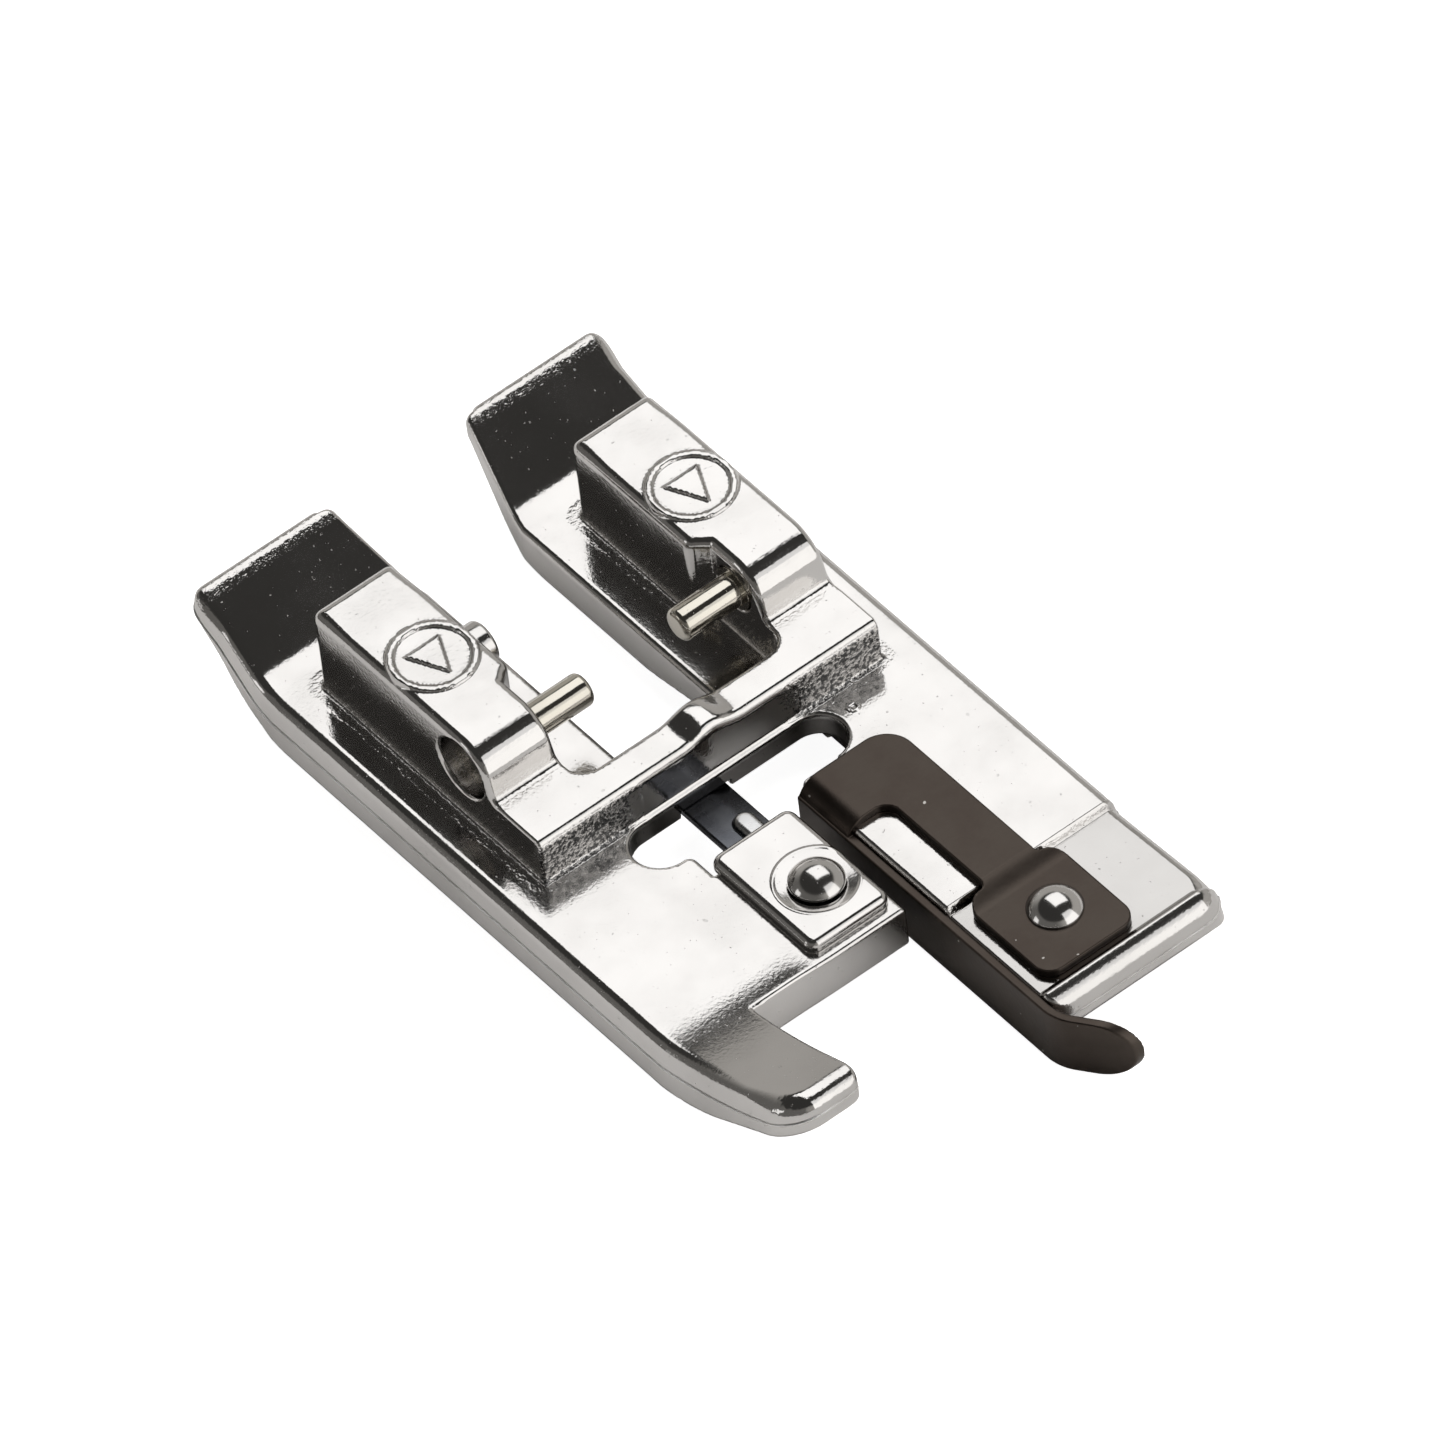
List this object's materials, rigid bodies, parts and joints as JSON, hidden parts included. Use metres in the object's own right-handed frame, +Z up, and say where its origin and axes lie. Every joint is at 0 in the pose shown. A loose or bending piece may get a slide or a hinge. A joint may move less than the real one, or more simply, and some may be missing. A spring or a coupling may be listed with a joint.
{
  "type": "overcasting presser foot",
  "caption": "Clip-on overcasting presser foot for a dual-feed machine: chromed casting with hinge pins between two blocks, a dark edge guide with curled blade and a clamped stitch finger.",
  "frame": {"origin": "middle of the foot's bounding box in plan, at the height of the guide blade's lower edge; the sole's underside is 1 mm above it", "axes": "+Z up, away from the fabric; +Y to the heels at the back of the machine; +X to the side with the edge guide"},
  "size_m": [0.022, 0.0426, 0.0078],
  "materials": {
    "chromed_casting": "bright chrome over a cast surface, fine casting texture left at the edges",
    "chromed_plate": "bright chrome, bevelled edges",
    "chromed_rivet": "polished domed head",
    "pin_steel": "ground and polished",
    "blackened_steel": "satin black oxide with a warm tone"
  },
  "bodies": {
    "root": {"foot_body": "chromed_casting", "left_hinge_pin": "pin_steel", "right_hinge_pin": "pin_steel", "locating_stud": "chromed_casting", "stitch_finger": "blackened_steel", "finger_clamp_plate": "chromed_plate", "finger_rivet": "chromed_rivet", "edge_guide": "blackened_steel", "guide_rivet": "chromed_rivet"}
  },
  "joints": []
}
